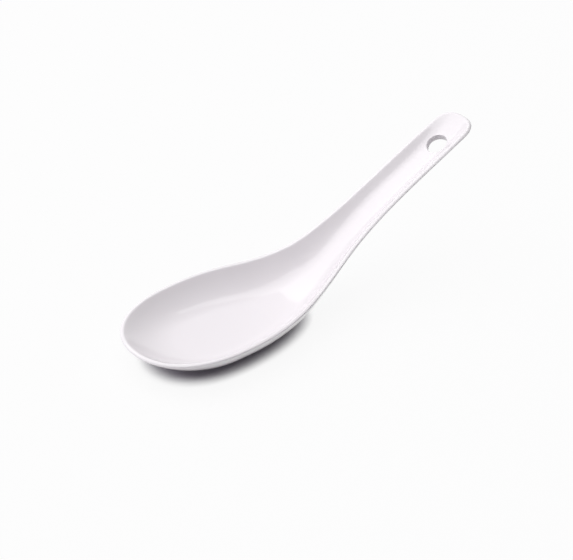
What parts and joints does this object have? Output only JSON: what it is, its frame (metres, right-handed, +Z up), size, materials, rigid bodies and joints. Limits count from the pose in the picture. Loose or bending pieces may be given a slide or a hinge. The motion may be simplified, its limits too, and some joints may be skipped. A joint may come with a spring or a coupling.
{
  "type": "amuse-bouche spoon",
  "caption": "White glazed porcelain spoon with a broad flat-floored bowl on a bare foot and a rising channelled handle with a hanging hole.",
  "frame": {"origin": "middle of the bare foot, on the surface the spoon stands on", "axes": "+X from the bowl's tip towards the handle's end, +Z up, XZ is the plane of symmetry"},
  "size_m": [0.1387, 0.0462, 0.05],
  "materials": {
    "bisque": "matt fired porcelain, bare at the foot",
    "glaze": "glossy clear glaze over white porcelain"
  },
  "bodies": {
    "root": {"bowl": "bisque", "handle": "bisque", "glaze_coat": "glaze"}
  },
  "joints": []
}
